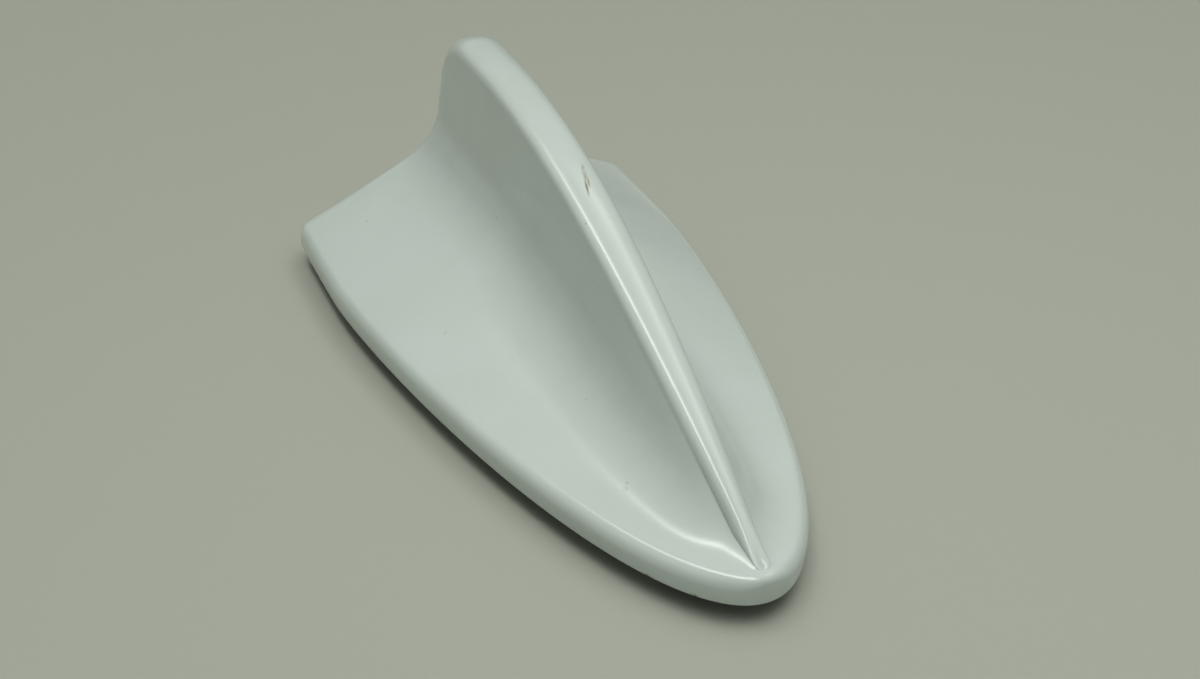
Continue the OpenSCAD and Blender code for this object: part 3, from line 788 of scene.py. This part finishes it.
# %% Counts along and across the grid
NOSE_ROWS, MID_ROWS, TIP_ROWS, ROUND_ROWS, REAR_ROWS = 44, 34, 20, 8, 4
LOWER = 4
EDGE, SKIRT, FOOT, FLANK, CROWN = 10, 12, 18, 8, 14
BODY_LAST = NOSE_ROWS + MID_ROWS + TIP_ROWS
ROWS = BODY_LAST + ROUND_ROWS + REAR_ROWS + 1
HALF = LOWER + EDGE + SKIRT + FOOT + FLANK + CROWN
COLUMNS = 2 * HALF + 1
print("grid:", ROWS, "rows of", COLUMNS)


# %% Outline and ridge as fields of the distance behind the nose
def half_width(u, size):
    rounded = size["Width"] / 2 * (1 - (1 - u / LEAD) ** PLAN_P) ** (1 / PLAN_Q)
    straight = size["Width"] / 2 - TAPER * ((u - LEAD) / (size["Length"] - LEAD)) ** 2.0
    return choose(less(u, LEAD), rounded, straight)


def rim_point(u, inset, size):
    """The outline drawn in by the inset: distance behind the nose, and half width."""
    before = calc("MAXIMUM", 0.0, u - 0.05)
    after = u + 0.05
    slope = (half_width(after, size) - half_width(before, size)) / (after - before)
    length = hypotenuse(slope, 1.0 + 0.0 * slope)
    return u + inset * slope / length, calc("MAXIMUM", 0.0, half_width(u, size) - inset / length)


def ridge_foot(u, inset):
    """Where the section line from the outline meets the ridge."""
    return u + (RIDGE_START + INNER_START * inset) * calc("MAXIMUM", 0.0, 1 - u / FAN_RUN) ** 2.0


def band_height(u, size):
    lift = calc("EXPONENT", (u / NOSE_LIFT_RUN) ** 2.0 * -1.0)
    return BAND_TAIL + (BAND_NOSE - BAND_TAIL) * (0.5 * (1 - u / size["Length"]) + 0.5 * lift)


def ridge_height(u, size):
    start = size["Rim height"] + BAND_NOSE + LEAST_RISE
    climb = calc("SINE", math.pi / 2 * limit((u - RIDGE_START) / RIDGE_RUN)) ** RIDGE_POW
    tip = limit((u - size["Length"] + TIP_R) / TIP_R)
    drop = 0.8 * TIP_R * (1 - calc("SQRT", 1 - 0.985 * tip * tip))
    drop = drop + TAIL_DROP * ease((u - RIDGE_RUN) / 40)
    return start + (size["Fin top"] - start) * climb - drop


def ridge_half_thickness(u, size):
    grown = (1 - calc("EXPONENT", u / -THICK_RUN)) / (1 - calc("EXPONENT", size["Length"] / -THICK_RUN))
    return RIDGE_NOSE_T / 2 + (FIN_T - RIDGE_NOSE_T) / 2 * grown


print("outline and ridge defined")


# %% One cross-section as fields
def section(u, i, inside, inset, size):
    """Distance from the ridge, height, and the angle of the outward normal, at index i."""
    shelf = size["Shelf"] * inside
    rim_x, rim_y = rim_point(u, inset, size)
    ridge = ridge_foot(u, inset)
    span = hypotenuse(rim_x - ridge, rim_y)
    d = span - shelf
    slope = SKIRT_SLOPE * limit(u / SKIRT_RUN)
    rise = calc("TANGENT", slope)
    lean = FIN_DRAFT + NOSE_DRAFT * (1 - ease(u / NOSE_DRAFT_RUN))
    lean = lean + END_DRAFT * (1 - ease(u / END_DRAFT_RUN))
    draft = calc("TANGENT", lean)
    side = calc("MAXIMUM", LEAST_SIDE, rim_y / span)
    outer = less(inset, 0.01)
    base = size["Rim height"] + band_height(u, size) - inset / calc("COSINE", slope) + rise * (inset + shelf)
    full = calc("MINIMUM", ridge_half_thickness(ridge, size) / side, THICKNESS_SHARE * span)
    t = calc("MAXIMUM", LEAST_HALF_THICKNESS, full - inset)
    skirt_t = base + rise * (d - t)
    hollow = choose(outer, 1.0, ease((full - inset - 0.3) / 1.2))
    fin = calc("MAXIMUM", 0.0, ridge_height(ridge, size) - inset - skirt_t - LEAST_RISE)
    h = skirt_t + LEAST_RISE + fin * hollow
    cap = calc("MINIMUM", calc("MAXIMUM", 1.0, FIN_CAP - inset), CAP_SHARE * (h - skirt_t))
    er = calc("MINIMUM", choose(outer, BAND_R, INNER_EDGE_R), EDGE_SHARE * d)
    et = er * calc("TANGENT", (math.pi / 2 - slope) / 2)
    edge_x, edge_z = d - er, base - et
    end_x, end_z = d - et * calc("COSINE", slope), base + et * calc("SINE", slope)
    knee_x = (t + (h - cap - base - rise * d) * draft) / (1 - rise * draft)
    knee_z = base + rise * (d - knee_x)
    turn = math.pi / 2 - lean - slope
    wish = calc("TANGENT", turn / 2)
    room_up = LEG_SHARE * hypotenuse(t - knee_x, h - cap - knee_z)
    room_out = LEG_SHARE * hypotenuse(end_x - knee_x, end_z - knee_z)
    leg_up = calc("MINIMUM", (FOOT_R + inset) * wish, room_up)
    leg_out = calc("MINIMUM", (FOOT_R * LONG_LEG + inset) * wish, room_out)
    start_x, start_z = knee_x + leg_out * calc("COSINE", slope), knee_z - leg_out * calc("SINE", slope)
    foot_x, foot_z = knee_x - leg_up * calc("SINE", lean), knee_z + leg_up * calc("COSINE", lean)

    edge_0 = LOWER
    skirt_0 = edge_0 + EDGE
    foot_0 = skirt_0 + SKIRT
    flank_0 = foot_0 + FOOT
    crown_0 = flank_0 + FLANK
    lip = calc("MINIMUM", (i - 1) * (math.pi / 4), math.pi / 2) - math.pi / 2
    first = less(i, 0.5)
    low_x = choose(inside, choose(less(i, 2.5), span, d),
                   choose(first, span, span - LIP_R + LIP_R * calc("COSINE", lip)))
    low_z = choose(first, size["Rim height"],
                   choose(inside, choose(less(i, 1.5), (size["Rim height"] + SHELF_Z) / 2, SHELF_Z),
                          size["Rim height"] + LIP_R + LIP_R * calc("SINE", lip)))
    a = (math.pi / 2 - slope) * ((i - edge_0) / EDGE)
    arc_x, arc_z = edge_x + er * calc("COSINE", a), edge_z + er * calc("SINE", a)
    k = (i - skirt_0) / SKIRT
    out_x, out_z = end_x + (start_x - end_x) * k, end_z + (start_z - end_z) * k
    s = (i - foot_0) / FOOT
    bow_x = (1 - s) * (1 - s) * start_x + 2 * s * (1 - s) * knee_x + s * s * foot_x
    bow_z = (1 - s) * (1 - s) * start_z + 2 * s * (1 - s) * knee_z + s * s * foot_z
    b = calc("ARCTAN2", (1 - s) * leg_out * calc("SINE", slope) + s * leg_up * calc("COSINE", lean),
             (1 - s) * leg_out * calc("COSINE", slope) + s * leg_up * calc("SINE", lean))
    m = (i - flank_0) / FLANK
    up_x, up_z = foot_x + (t - foot_x) * m, foot_z + (h - cap - foot_z) * m
    c = math.pi / 2 * limit((i - crown_0) / CROWN)
    cos_c, sin_c = calc("MAXIMUM", 0.0, calc("COSINE", c)), calc("SINE", c)
    top_x = choose(less(i, HALF - 0.5), t * cos_c ** CAP_POW, 0.0)
    top_z = h - cap + cap * sin_c ** CAP_POW
    tilt = calc("ARCTAN2", t * calc("MAXIMUM", cos_c, 0.02) ** (CAP_POW - 1) * sin_c,
                cap * calc("MAXIMUM", sin_c, 0.02) ** (CAP_POW - 1) * cos_c)

    def by_part(low, edge, skirt, foot, flank, crown):
        value = choose(less(i, crown_0 - 0.5), flank, crown)
        value = choose(less(i, flank_0 - 0.5), foot, value)
        value = choose(less(i, foot_0 - 0.5), skirt, value)
        value = choose(less(i, skirt_0 - 0.5), edge, value)
        return choose(less(i, edge_0 - 0.5), low, value)

    x = by_part(low_x, arc_x, out_x, bow_x, up_x, top_x)
    z = by_part(low_z, arc_z, out_z, bow_z, up_z, top_z)
    facing = by_part(0.0, a, math.pi / 2 - slope, math.pi / 2 - b, lean, tilt)
    crown_part = limit((i - crown_0) / CROWN)
    return x, z, facing, crown_part, span, rim_x, rim_y, ridge


print("cross-section defined")


# %% Rows along the cover, and the rounding at its rear
def station(row, size):
    """Distance behind the nose of a row, close together at the nose and at the tip."""
    tip_start = size["Length"] - 1.2 * TIP_R
    nose = FAN_RUN * (row / NOSE_ROWS) ** 1.8
    middle = FAN_RUN + (tip_start - FAN_RUN) * ((row - NOSE_ROWS) / MID_ROWS)
    ending = limit((row - NOSE_ROWS - MID_ROWS) / TIP_ROWS)
    tip = tip_start + (size["Length"] - tip_start) * calc("SINE", math.pi / 2 * ending)
    rear = choose(less(row, NOSE_ROWS + MID_ROWS + 0.5), middle, tip)
    return choose(less(row, NOSE_ROWS + 0.5), nose, rear)


def cover_place(row, column, inside, size):
    """The place in millimetres of one vertex of the cover's skin."""
    i = HALF - calc("ABSOLUTE", column - HALF)
    inset = size["Wall"] * calc("MAXIMUM", inside, less(i, 0.5))
    u = station(row, size)
    x, z, facing, crown, span, rim_x, rim_y, ridge = section(u, i, inside, inset, size)
    f = x / span
    radius = FIN_TAIL_R - inset + (TAIL_CORNER_R - FIN_TAIL_R) * ease((f - 0.3) / 0.6)
    least = choose(less(inset, 0.01), LEAST_TAIL_R, LEAST_INNER_TAIL_R)
    radius = calc("MAXIMUM", least, radius * (1 - CROWN_LOSS * ease(crown)))
    nose_x = size["Length"] / 2
    body_lean = TAIL_LEAN * (z - size["Rim height"])
    squeeze = (size["Length"] - body_lean - radius - inset) / size["Length"]
    body_x = nose_x - (ridge + (rim_x - ridge) * f) * squeeze
    angle = math.pi / 2 * limit((row - BODY_LAST) / ROUND_ROWS)
    sunk = 1 - calc("COSINE", angle)
    tail_y = calc("MAXIMUM", 0.0, x - sunk * radius * calc("COSINE", facing))
    tail_z = z - sunk * calc("MINIMUM", radius, FIN_TAIL_R) * calc("SINE", facing)
    tail_x = TAIL_LEAN * (tail_z - size["Rim height"]) + inset + radius * (1 - calc("SINE", angle)) - nose_x
    closing = 1 - limit((row - BODY_LAST - ROUND_ROWS) / REAR_ROWS)
    in_body = less(row, BODY_LAST + 0.5)
    sign = calc("SIGN", column - HALF)
    across = choose(in_body, rim_y * f, tail_y * closing) * sign
    return choose(in_body, body_x, tail_x), across, choose(in_body, z, tail_z)


print("rows defined")

# %% Two skins joined into one shell
WELD = 0.002 * MM
cover_tree, cover_source, cover_size = new_tree("cover rule", COVER)


def skin(inside, size, tree):
    """One skin of the cover: a grid whose points are moved to the rule's places."""
    grid = tree.nodes.new("GeometryNodeMeshGrid")
    grid.inputs["Vertices X"].default_value = ROWS
    grid.inputs["Vertices Y"].default_value = COLUMNS
    index = Field(tree.nodes.new("GeometryNodeInputIndex").outputs[0])
    row = calc("FLOOR", (index + 0.5) / COLUMNS)
    column = index - row * COLUMNS
    place = cover_place(row, column, inside + 0.0 * index, size)
    vector = tree.nodes.new("ShaderNodeCombineXYZ")
    for value, socket in zip(place, vector.inputs):
        plug(value * MM, socket)
    move = tree.nodes.new("GeometryNodeSetPosition")
    tree.links.new(grid.outputs["Mesh"], move.inputs["Geometry"])
    tree.links.new(vector.outputs[0], move.inputs["Position"])
    return move.outputs["Geometry"]


flip = cover_tree.nodes.new("GeometryNodeFlipFaces")
connect(cover_tree, (skin(0.0, cover_size, cover_tree), flip.inputs["Mesh"]))
join = cover_tree.nodes.new("GeometryNodeJoinGeometry")
connect(cover_tree, (flip.outputs["Mesh"], join.inputs["Geometry"]))
connect(cover_tree, (skin(1.0, cover_size, cover_tree), join.inputs["Geometry"]))
weld = cover_tree.nodes.new("GeometryNodeMergeByDistance")
weld.inputs["Distance"].default_value = WELD
cover_tree.links.new(join.outputs["Geometry"], weld.inputs["Geometry"])
close_tree(cover_tree, cover_source, weld.outputs["Geometry"])
print("nodes in the cover's tree:", len(cover_tree.nodes))


# %% Evaluate the shell and measure it
def report(mesh, name):
    """Prints the mesh's size, its volume and its open edges."""
    check = bmesh.new()
    check.from_mesh(mesh)
    open_edges = sum(len(edge.link_faces) != 2 for edge in check.edges)
    places = np.array([v.co for v in check.verts])
    print(name, "faces", len(check.faces), "open edges", open_edges,
          "volume cm3", round(check.calc_volume(signed=True) * 1e6, 2),
          "box mm", (places.min(0) / MM).round(2), (places.max(0) / MM).round(2))
    check.free()


shell = made_by(cover_tree, "cover_moulding", COVER, lacquer)
report(shell.data, "cover shell")

# %% [markdown]
# ## Bosses inside the cover
#
# Five screws come up through the base into blind bosses that are moulded with the cover.
# A boss is a short turned shape: a cylinder with a pilot hole from below. Its top has to
# end inside the cover's wall, so a ray from above measures the skin over each boss. The
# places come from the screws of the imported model, whose separate solids are told apart first.


# %% Boxes of the separate solids in one node
def island_boxes(name):
    """Lowest and highest corner of each separate solid in a node, in metres."""
    mesh = bmesh.new()
    mesh.from_mesh(nodes[name].data)
    bmesh.ops.remove_doubles(mesh, verts=mesh.verts, dist=0.001 * MM)
    waiting = set(mesh.verts)
    boxes = []
    while waiting:
        edge = [waiting.pop()]
        found = []
        while edge:
            vertex = edge.pop()
            found.append(vertex.co.copy())
            for link in vertex.link_edges:
                other = link.other_vert(vertex)
                if other in waiting:
                    waiting.remove(other)
                    edge.append(other)
        places = np.array(found)
        boxes.append((Vector(places.min(0)), Vector(places.max(0))))
    mesh.free()
    return sorted(boxes, key=lambda box: (round(box[0].x, 5), box[0].y))


cover_screw_boxes = island_boxes("cover_screws")
print("cover screws:", [[round(c / MM, 2) for c in (a + b) / 2] for a, b in cover_screw_boxes])

# %% Turn the bosses and add them to the cover's mesh
BOSS_R = 3.0 * MM
PILOT_R = 1.25 * MM
BOSS_STEPS = 40
DECK_Z = 3.8 * MM
PILOT_TOP = DECK_Z + 3.4 * MM
SKIN_LEFT = 0.5 * MM
RAY_START_Z = 100 * MM
RAYS = 16


def circle_point(centre, radius, height, k, steps):
    """Point k of the steps on a level circle."""
    a = 2 * math.pi * k / steps
    return Vector((centre.x + radius * math.cos(a), centre.y + radius * math.sin(a), height))


def turned(mesh, centre, profile, steps):
    """A closed turned shape on a vertical axis; the profile starts and ends on the axis."""
    rings = []
    for radius, height in profile:
        if radius == 0:
            rings.append([mesh.verts.new((centre.x, centre.y, height))] * steps)
            continue
        rings.append([mesh.verts.new(circle_point(centre, radius, height, k, steps)) for k in range(steps)])
    for low, high in zip(rings, rings[1:]):
        for k in range(steps):
            corners = [low[k], low[(k + 1) % steps], high[(k + 1) % steps], high[k]]
            mesh.faces.new([c for n, c in enumerate(corners) if c not in corners[:n]])


def skin_above(tree, centre, radius):
    """The lowest place of the outer skin over a circle."""
    down = Vector((0, 0, -1))
    starts = [circle_point(centre, radius, RAY_START_Z, k, RAYS) for k in range(RAYS)]
    return min(tree.ray_cast(start, down)[0].z for start in starts)


with_bosses = bmesh.new()
with_bosses.from_mesh(shell.data)
skin_tree = BVHTree.FromBMesh(with_bosses)
for low, high in cover_screw_boxes:
    middle = (low + high) / 2
    top = skin_above(skin_tree, middle, BOSS_R) - SKIN_LEFT
    pilot = [(0, PILOT_TOP), (PILOT_R, PILOT_TOP), (PILOT_R, DECK_Z)]
    turned(with_bosses, middle, pilot + [(BOSS_R, DECK_Z), (BOSS_R, top), (0, top)], BOSS_STEPS)
    print("boss at", round(middle.x / MM, 1), round(middle.y / MM, 1), "to", round(top / MM, 2))
with_bosses.to_mesh(shell.data)
with_bosses.free()
report(shell.data, "cover with bosses")

# %% [markdown]
# ## Screws
#
# The aerial is held together by eleven plated screws of two sizes. A screw follows a rule,
# too: its radius depends on the height, on the angle in the recess, and on both in the
# thread. One tree makes the screw from that rule and puts it on every point of a small mesh
# that holds the places. The same tree serves all three sets, with other sizes.

# %% The screw's rule
HEAD_ROWS, THREAD_ROWS, SCREW_COLUMNS = 9, 72, 37
SCREW_ROWS = HEAD_ROWS + THREAD_ROWS + 3
SCREW = {
    "Head radius": 2.6,
    "Head height": 1.5,
    "Shank radius": 1.2,
    "Length": 4.9,
    "Pitch": 0.9,
    "Thread depth": 0.25,
    "Turned over": 0.0,
}


def screw_profile(row, angle, size):
    """Radius and height of the screw's surface, from the recess to the tip."""
    head, height, shank = size["Head radius"], size["Head height"], size["Shank radius"]
    lobes = 1 + 0.13 * calc("COSINE", angle * 6)
    start = 0.4 * size["Pitch"]
    tip = 0.8 * size["Pitch"]
    part = limit((row - HEAD_ROWS) / THREAD_ROWS)
    along = start + (size["Length"] - tip - start) * part
    wave = calc("ABSOLUTE", 2 * calc("FRACT", along / size["Pitch"] + angle / (2 * math.pi)) - 1)
    ending = limit((1 - part) * 12)
    thread_r = shank - size["Thread depth"] * (1 - (1 - wave) * ending)
    knots = [
        (0.0 * row, -0.4 * height), (head * 0.44 * lobes, -0.4 * height),
        (head * 0.48 * lobes, -0.97 * height), (head * 0.62, -1.0 * height),
        (head * 0.82, -0.86 * height), (head * 0.95, -0.6 * height),
        (head, -0.25 * height), (head * 0.98, 0.0 * row), (shank, 0.0 * row),
    ]
    radius, place = 0.0 * row, size["Length"]
    radius = choose(less(row, HEAD_ROWS + THREAD_ROWS + 1.5), shank * 0.45, radius)
    radius = choose(less(row, HEAD_ROWS + THREAD_ROWS + 0.5), thread_r, radius)
    place = choose(less(row, HEAD_ROWS + THREAD_ROWS + 0.5), along, place)
    for number in range(len(knots) - 1, -1, -1):
        radius = choose(less(row, number + 0.5), knots[number][0], radius)
        place = choose(less(row, number + 0.5), knots[number][1], place)
    return radius, place


print("rows of a screw:", SCREW_ROWS)

# %% The tree that makes a screw and repeats it
screw_tree, screw_source, screw_size = new_tree("screw rule", SCREW)
screw_grid = screw_tree.nodes.new("GeometryNodeMeshGrid")
screw_grid.inputs["Vertices X"].default_value = SCREW_ROWS
screw_grid.inputs["Vertices Y"].default_value = SCREW_COLUMNS
screw_index = Field(screw_tree.nodes.new("GeometryNodeInputIndex").outputs[0])
screw_row = calc("FLOOR", (screw_index + 0.5) / SCREW_COLUMNS)
screw_angle = (screw_index - screw_row * SCREW_COLUMNS) * (2 * math.pi / (SCREW_COLUMNS - 1))
screw_r, screw_z = screw_profile(screw_row, screw_angle, screw_size)
over = 1 - 2 * screw_size["Turned over"]
screw_place = screw_tree.nodes.new("ShaderNodeCombineXYZ")
plug(screw_r * calc("COSINE", screw_angle) * MM, screw_place.inputs["X"])
plug(screw_r * calc("SINE", screw_angle) * over * MM, screw_place.inputs["Y"])
plug(screw_z * over * MM, screw_place.inputs["Z"])
screw_move = screw_tree.nodes.new("GeometryNodeSetPosition")
screw_weld = screw_tree.nodes.new("GeometryNodeMergeByDistance")
screw_weld.inputs["Distance"].default_value = WELD
screw_flip = screw_tree.nodes.new("GeometryNodeFlipFaces")
repeat = screw_tree.nodes.new("GeometryNodeInstanceOnPoints")
connect(
    screw_tree,
    (screw_grid.outputs["Mesh"], screw_move.inputs["Geometry"]),
    (screw_place.outputs[0], screw_move.inputs["Position"]),
    (screw_move.outputs["Geometry"], screw_weld.inputs["Geometry"]),
    (screw_weld.outputs["Geometry"], screw_flip.inputs["Mesh"]),
    (screw_source.outputs["Geometry"], repeat.inputs["Points"]),
    (screw_flip.outputs["Mesh"], repeat.inputs["Instance"]),
)
close_tree(screw_tree, screw_source, repeat.outputs["Instances"])
print("nodes in the screw's tree:", len(screw_tree.nodes))


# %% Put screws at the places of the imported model
def screws(name, sizes, seat):
    """One mesh with a screw at the middle of each solid in the node."""
    places = bpy.data.meshes.new(name + " places")
    middles = [(a + b) / 2 for a, b in island_boxes(name)]
    places.from_pydata([(m.x, m.y, seat) for m in middles], [], [])
    piece = made_by(screw_tree, name + "_threaded", sizes, zinc_steel, places)
    report(piece.data, piece.name)
    return piece


SMALL_SCREW = dict(SCREW)
SMALL_SCREW.update({"Head radius": 1.9, "Head height": 1.1, "Shank radius": 0.9,
                    "Pitch": 0.45, "Thread depth": 0.14, "Turned over": 1.0})
SCREW_SETS = [("cover_screws", SCREW), ("board_screws", SMALL_SCREW), ("carrier_screws", SMALL_SCREW)]
screw_pieces = []
for name, sizes in SCREW_SETS:
    low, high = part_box(name)
    sizes = dict(sizes)
    head = sizes["Head height"]
    sizes["Length"] = (high.z - low.z) / MM - head
    seat = high.z - head * MM if sizes["Turned over"] else low.z + head * MM
    screw_pieces.append((name, screws(name, sizes, seat)))

# %% [markdown]
# ## The thread of the fixing hole
#
# The aerial is pulled down on the roof by one bolt in the middle of the collar. The packed
# hole is plain, so its thread is laid in as a long coil with a four-sided section: a spiral
# curve, given a profile, sunk a little into the wall of the hole.

# %% A spiral with a profile
THREAD = {"Radius": 2.5, "Pitch": 1.0, "Turns": 5.9, "Start": -3.5}
thread_tree, thread_source, thread_size = new_tree("hole thread", THREAD)
spiral = thread_tree.nodes.new("GeometryNodeCurveSpiral")
spiral.inputs["Resolution"].default_value = 40
plug(thread_size["Turns"], spiral.inputs["Rotations"])
plug(thread_size["Radius"] * MM, spiral.inputs["Start Radius"])
plug(thread_size["Radius"] * MM, spiral.inputs["End Radius"])
plug(thread_size["Turns"] * thread_size["Pitch"] * MM, spiral.inputs["Height"])
tooth = thread_tree.nodes.new("GeometryNodeCurvePrimitiveCircle")
tooth.inputs["Resolution"].default_value = 4
plug(thread_size["Pitch"] * (0.42 * MM), tooth.inputs["Radius"])
sweep = thread_tree.nodes.new("GeometryNodeCurveToMesh")
sweep.inputs["Fill Caps"].default_value = True
lift = thread_tree.nodes.new("GeometryNodeTransform")
lift_by = thread_tree.nodes.new("ShaderNodeCombineXYZ")
plug(thread_size["Start"] * MM, lift_by.inputs["Z"])
connect(
    thread_tree,
    (spiral.outputs["Curve"], sweep.inputs["Curve"]),
    (tooth.outputs["Curve"], sweep.inputs["Profile Curve"]),
    (lift_by.outputs[0], lift.inputs["Translation"]),
    (sweep.outputs["Mesh"], lift.inputs["Geometry"]),
)
close_tree(thread_tree, thread_source, lift.outputs["Geometry"])
hole_thread = made_by(thread_tree, "fixing_thread", THREAD, cast_zinc)
report(hole_thread.data, "fixing thread")

# %% Everything rides on the one body
PIECES = [
    (shell, "cover", "white_paint", 38),
    *[(piece, name, "zinc_steel", 35) for name, piece in screw_pieces],
    (hole_thread, None, "cast_zinc", 20),
]
for piece, stands_for, slot, sharp in PIECES:
    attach(piece, "root")
    if stands_for:
        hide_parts(stands_for)
    for face in piece.data.polygons:
        face.use_smooth = True
    piece.data.set_sharp_from_angle(angle=math.radians(sharp))
